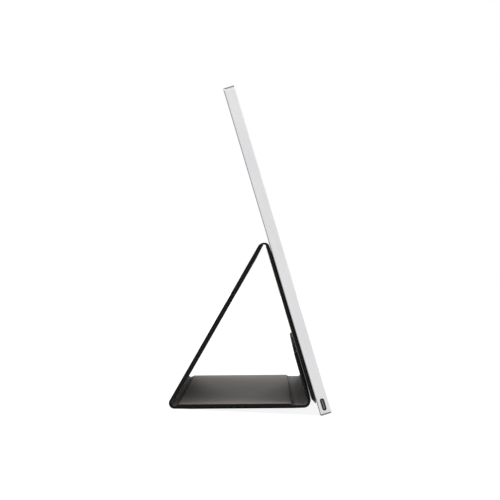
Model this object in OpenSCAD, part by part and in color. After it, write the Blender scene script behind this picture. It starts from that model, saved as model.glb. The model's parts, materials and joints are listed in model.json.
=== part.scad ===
// Portable monitor standing on its folded magnetic cover.
// +X runs across the screen to the user's right, the screen faces -Y, +Z is up.
// Side outlines are drawn as (forward, up), where forward is -Y.

/* [Display] */
// Width of the display case
case_w = 360.5; // [360:0.5:420]
// Height of the display case, along its own face
case_h = 243.8; // [242.3:0.1:280]
// Thickness of the display case
case_t = 8.3; // [7.5:0.1:10]
// Lean of the display back from vertical, in degrees
lean = 19.4; // [19.3:0.1:21]
// Radius of the case's corners, seen from the front
case_corner_r = 3; // [2:0.5:6]
// Chamfer round the back face of the case
back_chamfer = 0.8; // [0.3:0.1:1.2]
// Chamfer round the front rim of the case
front_chamfer = 0.4; // [0.2:0.1:0.8]
// Thickness of the case's side walls
wall = 1.5; // [1.2:0.1:2]
// Thickness of the case's back plate
back_plate = 1; // [0.8:0.1:1.2]

/* [Screen] */
// Width of the picture
picture_w = 344.7; // [280:0.1:345]
// Height of the picture
picture_h = 215.4; // [180:0.1:216]
// Height of the picture's lower edge above the case's bottom
picture_low = 20; // [18.3:0.1:21]
// How far the bezel's face lies below the rim
bezel_recess = 0.15; // [0.05:0.05:0.3]

/* [Ports and buttons] */
// Height of the middle of the side port above the case's bottom
port_s = 7.7; // [7.5:0.1:9]
// Length of the port's cut-out, along the case
port_l = 9; // [8.8:0.1:9.4]
// Width of the port's cut-out, through the case
port_t = 3.2; // [3.1:0.1:3.4]
// Height of the middle of the power button above the case's bottom
power_s = 31; // [29:0.5:33]
// Height of the middle of the menu rocker above the case's bottom
rocker_s = 52; // [50:0.5:55]
// Width of both buttons, through the case
button_t = 2.4; // [2:0.1:2.6]
// Length of the power button
power_l = 9; // [7:0.5:10]
// Length of the menu rocker
rocker_l = 18; // [14:0.5:20]
// How far the buttons stand out of the case
button_proud = 0.5; // [0.3:0.1:0.8]

/* [Cover] */
// Width of the cover
cover_w = 357; // [300:0.5:420]
// Thickness of the cover's back panel
panel_t = 2.6; // [2.4:0.1:2.8]
// Thickness of the strut
strut_t = 3.2; // [2.8:0.1:3.4]
// Thickness of the base
base_t = 3.1; // [2.8:0.1:3.4]
// Thickness of the flap
flap_t = 2.2; // [2.2:0.1:2.6]
// Thickness of the cover's outer skin
skin_t = 0.65; // [0.5:0.05:0.8]
// Thickness of the stiff board inside each panel
board_t = 1.3; // [1.2:0.05:1.3]
// Gap between the display's back and the cover
magnet_gap = 0.3; // [0.3:0.1:0.8]
// Height of the top fold's centre, along the display
fold_s = 125.6; // [125.4:0.1:127]
// Height of the back panel's lower end, along the display
back_low = 9; // [8:0.5:12]
// Lean of the strut from vertical, in degrees
strut_lean = 27.05; // [27:0.05:27.2]
// Rise of the base towards the front, in degrees
base_rise = 3.25; // [3.2:0.05:3.3]
// Length of the base between its two folds
base_l = 92.1; // [91.8:0.1:92.2]
// Lean of the flap from vertical, in degrees
flap_lean = 18.55; // [18.5:0.05:18.65]
// Length of the flap above the front fold
flap_l = 35.1; // [34:0.1:40]
// Outer radius of the top fold
top_r = 4.57; // [4.5:0.01:4.7]
// Outer radius of the rear fold
rear_r = 4; // [3.9:0.1:4.1]
// Outer radius of the front fold
front_r = 4.7; // [4.6:0.1:4.8]
// Radius of the small hole inside the top fold
top_hole_r = 1.08; // [1:0.01:1.2]

/* [Hidden] */
$fn = 64;
eps = 0.01;

// Side-view directions: along a panel at angle a, and square to it towards the inside of the stand
function along(a) = [cos(a), sin(a)];
function inward(a) = [-sin(a), cos(a)];

// Angles of the panels, measured from forward, in the order in which the cover runs
back_angle = 90 + lean;
strut_angle = 270 - strut_lean;
base_angle = base_rise;
flap_angle = 90 + flap_lean;
top_turn = strut_angle - back_angle;
rear_turn = 360 + base_angle - strut_angle;
front_turn = flap_angle - base_angle;

// The display's lower back corner, with its chamfer standing on the ground
case_forward = -inward(back_angle);
case_up = along(back_angle);
corner_z = -back_chamfer * sin(lean);

// The chain of folds, worked out from the display's corner at forward = 0
raw_corner = [0, corner_z];
raw_back = raw_corner - magnet_gap * case_forward;
raw_top = raw_back - top_r * case_forward + fold_s * case_up;
raw_strut = raw_top - top_r * inward(strut_angle);
strut_l = (raw_top[1] + (top_r - rear_r) * sin(strut_lean) - rear_r) / cos(strut_lean);
raw_rear = raw_strut + strut_l * along(strut_angle) + rear_r * inward(strut_angle);
raw_base = raw_rear - rear_r * inward(base_angle);
raw_front = raw_base + base_l * along(base_angle) + front_r * inward(base_angle);
raw_flap = raw_front - front_r * inward(flap_angle);

// Everything is moved so that the whole object is centred front to back
forward_max = case_t * case_forward[0] + front_chamfer * case_up[0];
forward_min = raw_rear[0] - rear_r;
centre = [(forward_max + forward_min) / 2, 0];
case_at = raw_corner - centre;
back_at = raw_back - centre;
top_at = raw_top - centre;
strut_at = raw_strut - centre;
rear_at = raw_rear - centre;
base_at = raw_base - centre;
front_at = raw_front - centre;
flap_at = raw_flap - centre;

// Layers of the display, measured from its back face towards the front
board_low = 1.65;
board_high = 2.65;
tray_low = 4.2;
tray_back = 0.3;
tray_wall = 0.6;
guide_t = 1.2;
film_low = 5.75;
film_t = 0.3;
lcd_low = 6.1;
lcd_t = 1.1;
bezel_low = 7.3;
port_mid_t = case_t / 2;

// Outline of the screen stack behind the bezel
tray_w = picture_w + 5.5;
tray_s = picture_low - 6.7;
tray_h = picture_h + 10.4;
stack_inset = tray_wall + 0.2;

// Controller board, its screws and what is on it
controller_x = [-178.2, -70];
controller_s = [3.2, 40];
screw_places = [[-160, 20], [-160, 36], [-78, 7], [-78, 36]];
boss_r = 2.5;
screw_hole_r = 0.8;
screw_r = 0.78;
board_hole_r = 1.1;
screw_head_r = 1.7;
screw_head_t = 0.7;
screw_deep = 0.6;
chips = [[-120, 22, 16, 16, 1.2], [-150, 12, 6, 6, 0.9], [-145, 30, 5, 4, 0.9], [-95, 28, 6, 6, 1.4], [-88, 16, 4, 4, 1]];
ribs_s = [44, 84, 150, 225];
rib_w = 2;
rib_span = 344;

// Side port
shell_gap = 0.1;
shell_wall = 0.25;
shell_in = 0.5;
shell_l = 7;
tongue_l = 6.6;
tongue_t = 0.7;
tongue_in = 0.7;
plug_block_l = 1.5;

// Buttons: each cap is kept in by a flange or lugs behind the wall, with its switches further in
button_gap = 0.1;
flange_more = 0.6;
flange_t = 0.7;
flange_gap = 0.05;
rocker_gap = 0.15;
rocker_in = 0.8;
lug_gap = 0.15;
lug_t = 0.5;
lug_l = 5;
button_board_x = [case_w / 2 - 4.95, case_w / 2 - 4.25];
button_board_s = [24, 64];
button_board_t = [1.9, 6.4];
switch_l = 3.5;
switch_x = 1.35;
plunger_x = 0.25;
plunger_r = 0.8;
rocker_half = 6;
cable_t = 0.15;
cable_low = back_plate + 0.05;
button_cable_s = [26, 30];
panel_cable_x = [-110, -90];
driver_board_t = [6.3, 7.1];

// Magnets of the display and the cover, across and up
magnet_xs = [-140, -60, 60, 140];
magnet_rows = [55, 112];
magnet_size = [18, 10];
case_magnet_t = 1.5;
magnet_clear = 0.1;
magnet_t = 1.2;
flap_magnet_a = 24;
keeper_s = 37.6;
keeper_xs = [-100, 0, 100];
keeper_size = [40, 8];

// Panel edges: where each thins to the flexible sheet, and how thick that sheet is
sheet_t = 2;
fold_hair = 0.03; // degrees left between a fold's end and the panel it joins
edge_t = 0.9;
back_taper = 4.5;
strut_start = 12; // the strut grows from the back panel's thickness to its own within this length
strut_taper = [4, 1.8];
base_rear_taper = [1.2, 3.6];
base_front_taper = [82.4, 84];
flap_taper = [2, 4.5];
flap_tip_t = 1.6;
flap_tip_l = 1.5;
board_inset = 3;
board_step = 1;
cover_corner_r = 4;

// ---- placing ----

// The display's own frame: x across, -y towards the front, z up the case
module on_display() {
    translate([0, -case_at[0], case_at[1]]) rotate([-lean, 0, 0]) children();
}

// A panel's own frame: y along the panel, z towards the inside of the stand
module on_panel(at, angle) {
    translate([0, -at[0], at[1]]) rotate([angle, 0, 180]) children();
}

// A (along, inward) outline of a panel, made as wide as w
module profile(w) {
    translate([-w / 2, 0, 0]) rotate([90, 0, 90]) linear_extrude(w) children();
}

// A box in the display's frame: x range, thickness range from the back, height range
module display_box(x, t, s) {
    translate([x[0], -t[1], s[0]]) cube([x[1] - x[0], t[1] - t[0], s[1] - s[0]]);
}

// A front-view outline in the display's frame, from thickness t[0] to t[1]
module slab(t) {
    rotate([90, 0, 0]) translate([0, 0, t[0]]) linear_extrude(t[1] - t[0]) children();
}

// A rectangle with round corners, its lower edge at height s
module round_rect(w, h, r, s = 0) {
    translate([-w / 2 + r, s]) square([w - 2 * r, h]);
    translate([-w / 2, s + r]) square([w, h - 2 * r]);
    for (x = [-w / 2 + r, w / 2 - r], y = [s + r, s + h - r]) translate([x, y]) circle(r);
}

// A long round-ended bar across the case wall: x range, middle height, length and width
module pill(x, s, l, t) {
    display_box(x, [port_mid_t - t / 2, port_mid_t + t / 2], [s - l / 2 + t / 2, s + l / 2 - t / 2]);
    for (end = [s - l / 2 + t / 2, s + l / 2 - t / 2])
        translate([x[0], -port_mid_t, end]) rotate([0, 90, 0]) cylinder(h = x[1] - x[0], d = t);
}

// ---- display ----

module case_outside() {
    intersection() {
        slab([0, case_t]) round_rect(case_w, case_h, case_corner_r);
        translate([-case_w / 2, 0, 0]) rotate([90, 0, 90]) linear_extrude(case_w) polygon([
            [-back_chamfer, 0], [0, back_chamfer], [0, case_h - back_chamfer], [-back_chamfer, case_h],
            [-case_t + front_chamfer, case_h], [-case_t, case_h - front_chamfer],
            [-case_t, front_chamfer], [-case_t + front_chamfer, 0]
        ]);
        linear_extrude(case_h) polygon([
            [case_w / 2, -back_chamfer], [case_w / 2 - back_chamfer, 0], [-case_w / 2 + back_chamfer, 0],
            [-case_w / 2, -back_chamfer], [-case_w / 2, -case_t + front_chamfer],
            [-case_w / 2 + front_chamfer, -case_t], [case_w / 2 - front_chamfer, -case_t],
            [case_w / 2, -case_t + front_chamfer]
        ]);
    }
}

module rear_cover() {
    color("silver") on_display() {
        difference() {
            case_outside();
            slab([back_plate, case_t + 1])
                round_rect(case_w - 2 * wall, case_h - 2 * wall, case_corner_r - wall, wall);
            pill([-case_w / 2 - 1, -case_w / 2 + wall + 1], port_s, port_l, port_t);
            pill([case_w / 2 - wall - 1, case_w / 2 + 1], power_s, power_l, button_t);
            pill([case_w / 2 - wall - 1, case_w / 2 + 1], rocker_s, rocker_l, button_t);
        }
        for (s = ribs_s) display_box([-rib_span / 2, rib_span / 2], [back_plate - eps, tray_low], [s, s + rib_w]);
        difference() {
            for (p = screw_places)
                slab([back_plate - eps, board_low]) translate(p) circle(boss_r);
            for (p = screw_places)
                slab([back_plate, board_low + 1]) translate(p) circle(screw_hole_r);
        }
    }
}

module front_bezel() {
    clear = 0.1;
    window = 0.3;
    color("dimgray") on_display() difference() {
        slab([bezel_low, case_t - bezel_recess])
            round_rect(case_w - 2 * wall - 2 * clear, case_h - 2 * wall - 2 * clear,
                case_corner_r - wall, wall + clear);
        display_box([-picture_w / 2 - window, picture_w / 2 + window], [bezel_low - 1, case_t + 1],
            [picture_low - window, picture_low + picture_h + window]);
    }
}

// A sheet of the screen stack, inside the tray
module stack_sheet(t, low = 0) {
    half = tray_w / 2 - stack_inset;
    display_box([-half, half], t, [tray_s + stack_inset + low, tray_s + tray_h - stack_inset]);
}

module lcd_panel() {
    color("black") on_display() stack_sheet([lcd_low, lcd_low + lcd_t]);
}

module diffuser_film() {
    color("white") on_display() stack_sheet([film_low, film_low + film_t]);
}

module light_guide() {
    color("lightcyan") on_display() stack_sheet([tray_low + tray_back, tray_low + tray_back + guide_t], 2.2);
}

module led_strip() {
    low = tray_s + stack_inset;
    color("gold") on_display()
        display_box([-150, 150], [tray_low + tray_back, tray_low + tray_back + guide_t], [low, low + 1.8]);
}

module panel_tray() {
    color("gainsboro") on_display() difference() {
        display_box([-tray_w / 2, tray_w / 2], [tray_low, bezel_low], [tray_s, tray_s + tray_h]);
        display_box([-tray_w / 2 + tray_wall, tray_w / 2 - tray_wall], [tray_low + tray_back, bezel_low + 1],
            [tray_s + tray_wall, tray_s + tray_h - tray_wall]);
    }
}

module driver_board() {
    color("darkgreen") on_display() display_box([-120, 120], driver_board_t, [2.5, 11.5]);
}

// A flat ribbon from the controller board round to the back of the driver board
module panel_cable() {
    color("orange") on_display() {
        display_box(panel_cable_x, [board_high, board_high + cable_t], [8, 24]);
        display_box(panel_cable_x, [board_high, driver_board_t[0]], [8, 8 + cable_t]);
    }
}

module controller_board() {
    color("green") on_display() difference() {
        display_box(controller_x, [board_low, board_high], controller_s);
        for (p = screw_places) slab([board_low - 1, board_high + 1]) translate(p) circle(board_hole_r);
    }
}

module controller_chips() {
    color("black") on_display() for (c = chips)
        display_box([c[0] - c[2] / 2, c[0] + c[2] / 2], [board_high, board_high + c[4]],
            [c[1] - c[3] / 2, c[1] + c[3] / 2]);
}

module board_screws() {
    color("silver") on_display() for (p = screw_places) {
        slab([board_high, board_high + screw_head_t]) translate(p) circle(screw_head_r);
        slab([board_low - screw_deep, board_high + eps]) translate(p) circle(screw_r);
    }
}

module usb_c_shell() {
    x = [-case_w / 2 + shell_in, -case_w / 2 + shell_in + shell_l];
    l = port_l - 2 * shell_gap;
    t = port_t - 2 * shell_gap;
    color("gray") on_display() difference() {
        pill(x, port_s, l, t);
        pill([x[0] - 1, x[1] + 1], port_s, l - 2 * shell_wall, t - 2 * shell_wall);
    }
}

module usb_c_tongue() {
    x = -case_w / 2 + shell_in;
    l = port_l - 2 * shell_gap - 2 * shell_wall;
    t = port_t - 2 * shell_gap - 2 * shell_wall;
    color("darkslategray") on_display() {
        pill([x + shell_l - plug_block_l, x + shell_l], port_s, l, t);
        display_box([x + tongue_in, x + shell_l - plug_block_l + eps],
            [port_mid_t - tongue_t / 2, port_mid_t + tongue_t / 2],
            [port_s - tongue_l / 2, port_s + tongue_l / 2]);
    }
}

// The cap stands out of its slot, and the flange behind the wall keeps it in
module power_button() {
    x = case_w / 2 - wall - flange_gap;
    color("silver") on_display() {
        pill([x - flange_t, x], power_s, power_l + 2 * flange_more, button_t + 2 * flange_more);
        pill([x - eps, case_w / 2 + button_proud], power_s, power_l - 2 * button_gap, button_t - 2 * button_gap);
    }
}

// The rocker tips about its middle, where two short lugs keep it in
module menu_rocker() {
    x = case_w / 2 - wall - lug_gap;
    half_t = button_t / 2 + flange_more;
    color("silver") on_display() {
        pill([case_w / 2 - wall - rocker_in, case_w / 2 + button_proud], rocker_s,
            rocker_l - 2 * rocker_gap, button_t - 2 * rocker_gap);
        display_box([x - lug_t, x], [port_mid_t - half_t, port_mid_t + half_t],
            [rocker_s - lug_l / 2, rocker_s + lug_l / 2]);
    }
}

module button_board() {
    color("green") on_display() display_box(button_board_x, button_board_t, button_board_s);
}

module button_switches() {
    color("black") on_display() for (s = [power_s, rocker_s - rocker_half, rocker_s + rocker_half]) {
        display_box([button_board_x[1], button_board_x[1] + switch_x],
            [port_mid_t - switch_l / 2, port_mid_t + switch_l / 2], [s - switch_l / 2, s + switch_l / 2]);
        translate([button_board_x[1] + switch_x - eps, -port_mid_t, s]) rotate([0, 90, 0])
            cylinder(h = plunger_x + eps, r = plunger_r);
    }
}

// A flat ribbon along the back plate, turned up at both ends
module button_cable() {
    left = controller_x[1];
    right = button_board_x[0];
    color("orange") on_display() {
        display_box([left, right], [cable_low, cable_low + cable_t], button_cable_s);
        display_box([left, left + cable_t], [cable_low, board_high], button_cable_s);
        display_box([right - cable_t, right], [cable_low, tray_low - 1], button_cable_s);
    }
}

module case_magnets() {
    color("silver") on_display() for (x = magnet_xs, s = magnet_rows)
        display_box([x - magnet_size[0] / 2, x + magnet_size[0] / 2], [back_plate, back_plate + case_magnet_t],
            [s - magnet_size[1] / 2, s + magnet_size[1] / 2]);
}

// ---- cover ----

// A plate on a panel: its middle x, the range along the panel and the range inwards
module plate(x, w, a, d) {
    translate([x - w / 2, a[0], d[0]]) cube([w, a[1] - a[0], d[1] - d[0]]);
}

// Keeps a panel within a plan outline whose far end, at a, has round corners
module round_end(a, far, r) {
    intersection() {
        children();
        low = min(a, far);
        translate([0, low, -1]) linear_extrude(panel_t + 2) intersection() {
            round_rect(cover_w, abs(far - a) + r, r, a < far ? -r : 0);
            translate([-cover_w / 2, 0]) square([cover_w, abs(far - a)]);
        }
    }
}

// The stiff board's place in a panel, from a[0] to a[1]
module board(a) {
    plate(0, cover_w - 2 * board_inset, a, [skin_t, skin_t + board_t]);
}

// A row of pockets or inserts in a board: xs across, one place along the panel
module inserts(xs, a, size, t, clear = 0) {
    for (x = xs) plate(x, size[0] + 2 * clear, [a - size[1] / 2 - clear, a + size[1] / 2 + clear],
        [skin_t, skin_t + t]);
}

back_board_a = [back_low + back_taper + board_step, fold_s - board_step];
strut_board_a = [board_step, strut_l - strut_taper[0] - board_step];
base_board_a = [base_rear_taper[1] + board_step, base_front_taper[0] - board_step];
flap_board_a = [flap_taper[1] + board_step, flap_l - board_inset];

module back_skin() {
    color("#222222") on_panel(back_at, back_angle) round_end(fold_s, back_low, cover_corner_r)
        plate(0, cover_w, [back_low, fold_s], [0, skin_t]);
}

module back_board() {
    color("tan") on_panel(back_at, back_angle) difference() {
        board(back_board_a);
        for (s = magnet_rows) inserts(magnet_xs, s, magnet_size, board_t + eps, magnet_clear);
        inserts(keeper_xs, keeper_s, keeper_size, board_t + eps, magnet_clear);
    }
}

module back_magnets() {
    color("silver") on_panel(back_at, back_angle)
        for (s = magnet_rows) inserts(magnet_xs, s, magnet_size, magnet_t);
}

module keeper_plates() {
    color("gray") on_panel(back_at, back_angle) inserts(keeper_xs, keeper_s, keeper_size, magnet_t);
}

module back_lining() {
    color("#333333") on_panel(back_at, back_angle) difference() {
        round_end(fold_s, back_low, cover_corner_r) profile(cover_w) polygon([
            [back_low, skin_t], [fold_s, skin_t], [fold_s, panel_t],
            [back_low + back_taper, panel_t], [back_low, edge_t]
        ]);
        board(back_board_a);
    }
}

module strut_skin() {
    color("#222222") on_panel(strut_at, strut_angle) plate(0, cover_w, [0, strut_l], [0, skin_t]);
}

module strut_board() {
    color("tan") on_panel(strut_at, strut_angle) board(strut_board_a);
}

module strut_lining() {
    color("#333333") on_panel(strut_at, strut_angle) difference() {
        profile(cover_w) polygon([
            [0, skin_t], [strut_l, skin_t], [strut_l, sheet_t], [strut_l - strut_taper[1], sheet_t],
            [strut_l - strut_taper[0], strut_t], [strut_start, strut_t], [0, panel_t]
        ]);
        board(strut_board_a);
    }
}

module base_skin() {
    color("#222222") on_panel(base_at, base_angle) plate(0, cover_w, [0, base_l], [0, skin_t]);
}

module base_board() {
    color("tan") on_panel(base_at, base_angle) board(base_board_a);
}

module base_lining() {
    color("#333333") on_panel(base_at, base_angle) difference() {
        profile(cover_w) polygon([
            [0, skin_t], [base_l, skin_t], [base_l, sheet_t], [base_front_taper[1], sheet_t],
            [base_front_taper[0], base_t], [base_rear_taper[1], base_t], [base_rear_taper[0], sheet_t],
            [0, sheet_t]
        ]);
        board(base_board_a);
    }
}

module flap_skin() {
    color("#222222") on_panel(flap_at, flap_angle) round_end(0, flap_l, cover_corner_r)
        plate(0, cover_w, [0, flap_l], [0, skin_t]);
}

module flap_board() {
    color("tan") on_panel(flap_at, flap_angle) difference() {
        board(flap_board_a);
        inserts(keeper_xs, flap_magnet_a, magnet_size, board_t + eps, magnet_clear);
    }
}

module flap_magnets() {
    color("silver") on_panel(flap_at, flap_angle) inserts(keeper_xs, flap_magnet_a, magnet_size, magnet_t);
}

module flap_lining() {
    color("#333333") on_panel(flap_at, flap_angle) difference() {
        round_end(0, flap_l, cover_corner_r) profile(cover_w) polygon([
            [0, skin_t], [flap_l, skin_t], [flap_l, flap_tip_t], [flap_l - flap_tip_l, flap_t],
            [flap_taper[1], flap_t], [flap_taper[0], sheet_t], [0, sheet_t]
        ]);
        board(flap_board_a);
    }
}

// ---- folds ----

// The sector that a fold fills, between the two panels' ends, seen from its centre
module sector(r, angle, turn) {
    start = angle - 90 + fold_hair;
    end = angle - 90 + turn - fold_hair;
    polygon([[0, 0], 2 * r * along(start), 3 * r * along((start + end) / 2), 2 * r * along(end)]);
}

// A fold of even thickness round its centre
module plain_fold(at, r, angle, turn) {
    translate([0, -at[0], at[1]]) rotate([0, 0, 180]) profile(cover_w) intersection() {
        difference() {
            circle(r);
            circle(r - sheet_t);
        }
        sector(r, angle, turn);
    }
}

// The top fold keeps the panels' thickness at its ends and closes round a small hole
module top_fold() {
    half = 90 - top_turn / 2;
    down = top_r - panel_t;
    apex = along(back_angle - 90 + top_turn / 2);
    hole = (down - top_hole_r) / sin(half) * apex;
    first = along(back_angle - 90);
    last = along(back_angle - 90 + top_turn);
    color("#222222") translate([0, -top_at[0], top_at[1]]) rotate([0, 0, 180]) profile(cover_w)
        difference() {
            intersection() {
                circle(top_r);
                sector(top_r, back_angle, top_turn);
            }
            translate(hole) circle(top_hole_r);
            polygon([
                hole + top_hole_r * first, down * first, -eps * apex, down * last, hole + top_hole_r * last
            ]);
        }
}

module rear_fold() {
    color("#222222") plain_fold(rear_at, rear_r, strut_angle, rear_turn);
}

module front_fold() {
    color("#222222") plain_fold(front_at, front_r, base_angle, front_turn);
}

rear_cover();
front_bezel();
lcd_panel();
diffuser_film();
light_guide();
led_strip();
panel_tray();
driver_board();
panel_cable();
controller_board();
controller_chips();
board_screws();
usb_c_shell();
usb_c_tongue();
button_board();
button_switches();
button_cable();
case_magnets();
power_button();
menu_rocker();
back_skin();
back_board();
back_lining();
back_magnets();
keeper_plates();
top_fold();
strut_skin();
strut_board();
strut_lining();
rear_fold();
base_skin();
base_board();
base_lining();
front_fold();
flap_skin();
flap_board();
flap_lining();
flap_magnets();
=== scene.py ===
import json
import math

import bmesh
import bpy
import numpy as np
from mathutils import Matrix, Vector


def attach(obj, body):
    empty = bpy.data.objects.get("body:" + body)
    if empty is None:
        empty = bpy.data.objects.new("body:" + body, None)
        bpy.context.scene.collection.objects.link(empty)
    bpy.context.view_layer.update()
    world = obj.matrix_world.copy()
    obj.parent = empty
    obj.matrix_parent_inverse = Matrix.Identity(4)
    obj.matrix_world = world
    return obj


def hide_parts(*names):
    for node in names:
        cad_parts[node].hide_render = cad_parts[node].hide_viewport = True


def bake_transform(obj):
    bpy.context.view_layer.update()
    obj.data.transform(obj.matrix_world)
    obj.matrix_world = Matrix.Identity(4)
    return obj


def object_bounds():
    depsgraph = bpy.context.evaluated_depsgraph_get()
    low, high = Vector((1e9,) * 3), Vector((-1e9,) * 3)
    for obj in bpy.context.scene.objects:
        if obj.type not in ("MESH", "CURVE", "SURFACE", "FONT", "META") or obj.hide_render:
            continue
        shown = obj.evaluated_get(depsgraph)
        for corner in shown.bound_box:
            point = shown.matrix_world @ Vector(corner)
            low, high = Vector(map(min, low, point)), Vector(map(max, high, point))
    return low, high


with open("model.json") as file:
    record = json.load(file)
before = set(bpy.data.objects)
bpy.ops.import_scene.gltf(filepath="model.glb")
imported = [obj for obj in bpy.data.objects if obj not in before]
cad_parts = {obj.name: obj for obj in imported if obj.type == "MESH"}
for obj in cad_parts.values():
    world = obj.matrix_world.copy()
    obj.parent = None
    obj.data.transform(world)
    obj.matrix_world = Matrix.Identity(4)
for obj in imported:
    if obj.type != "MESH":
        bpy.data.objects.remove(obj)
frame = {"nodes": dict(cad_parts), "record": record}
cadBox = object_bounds()
nodes = frame["nodes"]
mm = 0.001

cameraFacts = {
    "eye": (-1.8303, -0.00685, 0.12277),  # level with the middle of the stand, 1.65 m from its near side
    "roll": 2.796,  # degrees, which draws the base level and lets the case's lower edge hang
    "pixelsPerMetre": 1406,  # at the case's near side
    "renderWidth": 500,  # pixels
    "shift": (-0.03607, -0.0185),
    "sensorWidth": 36,
    "clip": (0.05, 50),
}


def makeCamera(facts):
    # Looks square at the side of the case, so the side is drawn without foreshortening. The lens is the
    # pixels per metre times the distance, as a share of the render's width, times the sensor's width.
    data = bpy.data.cameras.new("sideCamera")
    camera = bpy.data.objects.new("sideCamera", data)
    bpy.context.scene.collection.objects.link(camera)
    distance = cadBox[0][0] - facts["eye"][0]
    data.sensor_width = facts["sensorWidth"]
    data.lens = facts["pixelsPerMetre"] * distance * facts["sensorWidth"] / facts["renderWidth"]
    data.shift_x, data.shift_y = facts["shift"]
    data.clip_start, data.clip_end = facts["clip"]
    c, s = math.cos(math.radians(facts["roll"])), math.sin(math.radians(facts["roll"]))
    turn = Matrix(((0, 0, -1), (-c, s, 0), (s, c, 0)))
    camera.matrix_world = Matrix.Translation(facts["eye"]) @ turn.to_4x4()
    bpy.context.scene.camera = camera


def linearColour(text):
    # An sRGB hex value as linear red, green, blue and alpha
    c = np.array([int(text[i:i + 2], 16) for i in (1, 3, 5)]) / 255
    c = np.where(c <= 0.04045, c / 12.92, ((c + 0.055) / 1.055) ** 2.4)
    return (*c.tolist(), 1.0)


def addNode(tree, kind, settings=None, inputs=None):
    # One shader node: settings are its own properties, inputs are values or the sockets to link
    node = tree.nodes.new(kind)
    for key, value in (settings or {}).items():
        setattr(node, key, value)
    for key, value in (inputs or {}).items():
        if isinstance(value, bpy.types.NodeSocket):
            tree.links.new(value, node.inputs[key])
        else:
            node.inputs[key].default_value = value
    return node


lightFacts = {
    "skyLevel": 0.62,
    "panels": [
        # place, size in m, power in W, colour
        ((-1.0, -0.9, 1.6), 1.4, 14, "#FFFFFF"),
        ((-0.3, 1.5, 1.2), 1.2, 10, "#FFFFFF"),
        ((1.4, 0.2, 1.0), 1.2, 5, "#FFFDFA"),
        ((3.4, -0.06, 0.65), 0.6, 24, "#FFFFFF"),  # low and far, along the base
        ((-2.3, 0.3, 1.1), 0.5, 1.3, "#FFFFFF"),  # near, on the case's side
        ((-2.0, -1.6, 0.2), 0.5, 2.5, "#FFFFFF"),  # low and near, into the fold behind
    ],
    "aim": (0, 0, 0.09),
    "floorSide": 12,
    "floorPaint": "#D8D8D8",
    # where a mirror shows the floor and where the eye sees it: its own light, from 0 to 1, and its paint
    "floorMirrored": (0.4, "#D8D8D8"),
    "floorSeen": (0.9, "#808080"),
}


def makeLight(facts):
    # A white world that lights the object less than it shows, and soft square lamps turned to one point
    world = bpy.data.worlds.new("studio")
    bpy.context.scene.world = world
    world.use_nodes = True
    tree = world.node_tree
    tree.nodes.clear()
    path = addNode(tree, "ShaderNodeLightPath")
    seen = addNode(tree, "ShaderNodeMath", {"operation": "MAXIMUM"},
                   {0: path.outputs["Is Camera Ray"], 1: path.outputs["Is Glossy Ray"]})
    seen = addNode(tree, "ShaderNodeMath", {"operation": "MAXIMUM"},
                   {0: seen.outputs[0], 1: path.outputs["Is Transmission Ray"]})
    level = addNode(tree, "ShaderNodeMapRange", None,
                    {"Value": seen.outputs[0], "To Min": facts["skyLevel"], "To Max": 1.0})
    sky = addNode(tree, "ShaderNodeBackground", None,
                  {"Color": linearColour("#FFFFFF"), "Strength": level.outputs[0]})
    addNode(tree, "ShaderNodeOutputWorld", None, {"Surface": sky.outputs[0]})
    aim = Vector(facts["aim"])
    for i, (place, size, power, colour) in enumerate(facts["panels"]):
        data = bpy.data.lights.new(f"softPanel{i}", "AREA")
        data.size, data.energy = size, power
        data.color = linearColour(colour)[:3]
        lamp = bpy.data.objects.new(f"softPanel{i}", data)
        bpy.context.scene.collection.objects.link(lamp)
        lamp.location = place
        lamp.rotation_mode = "QUATERNION"
        lamp.rotation_quaternion = (aim - Vector(place)).to_track_quat("-Z", "Y")


def makeFloor(facts):
    # A level square of pale paper. It lights the object as plain paper does. Where it is seen, part of
    # its light is its own: most of it for the eye, so that the shadow stays light, and less in mirrors.
    half = facts["floorSide"] / 2
    corners = [(-half, -half, 0), (half, -half, 0), (half, half, 0), (-half, half, 0)]
    mesh = bpy.data.meshes.new("floor")
    mesh.from_pydata(corners, [], [(0, 1, 2, 3)])
    floor = bpy.data.objects.new("floor", mesh)
    bpy.context.scene.collection.objects.link(floor)
    paint = bpy.data.materials.new("pale paper sweep")
    paint.use_nodes = True
    tree = paint.node_tree
    tree.nodes.clear()
    path = addNode(tree, "ShaderNodeLightPath")
    mirrored = addNode(tree, "ShaderNodeMath", {"operation": "MAXIMUM"},
                       {0: path.outputs["Is Glossy Ray"], 1: path.outputs["Is Transmission Ray"]})
    plain = addNode(tree, "ShaderNodeBsdfDiffuse", None, {"Color": linearColour(facts["floorPaint"])})
    surface = plain.outputs[0]
    views = [
        (mirrored.outputs[0], *facts["floorMirrored"]),
        (path.outputs["Is Camera Ray"], *facts["floorSeen"]),
    ]
    for seen, share, colour in views:
        thin = addNode(tree, "ShaderNodeBsdfDiffuse", None, {"Color": linearColour(colour)})
        glow = addNode(tree, "ShaderNodeEmission", None,
                       {"Color": linearColour("#FFFFFF"), "Strength": share})
        white = addNode(tree, "ShaderNodeAddShader", None, {0: thin.outputs[0], 1: glow.outputs[0]})
        surface = addNode(tree, "ShaderNodeMixShader", None,
                          {"Fac": seen, 1: surface, 2: white.outputs[0]}).outputs[0]
    addNode(tree, "ShaderNodeOutputMaterial", None, {"Surface": surface})
    mesh.materials.append(paint)


makeCamera(cameraFacts)
makeLight(lightFacts)
makeFloor(lightFacts)
bpy.context.scene.view_settings.view_transform = "Standard"
print("camera, light and floor are set")


def startMaterial(name, values):
    # A Principled material whose constant values stand on the shader's own sockets
    material = bpy.data.materials.new(name)
    material.use_nodes = True
    tree = material.node_tree
    tree.nodes.clear()
    shader = addNode(tree, "ShaderNodeBsdfPrincipled", None, values)
    addNode(tree, "ShaderNodeOutputMaterial", None, {"Surface": shader.outputs[0]})
    place = addNode(tree, "ShaderNodeTexCoord").outputs["Object"]
    return material, tree, shader, place


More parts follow.
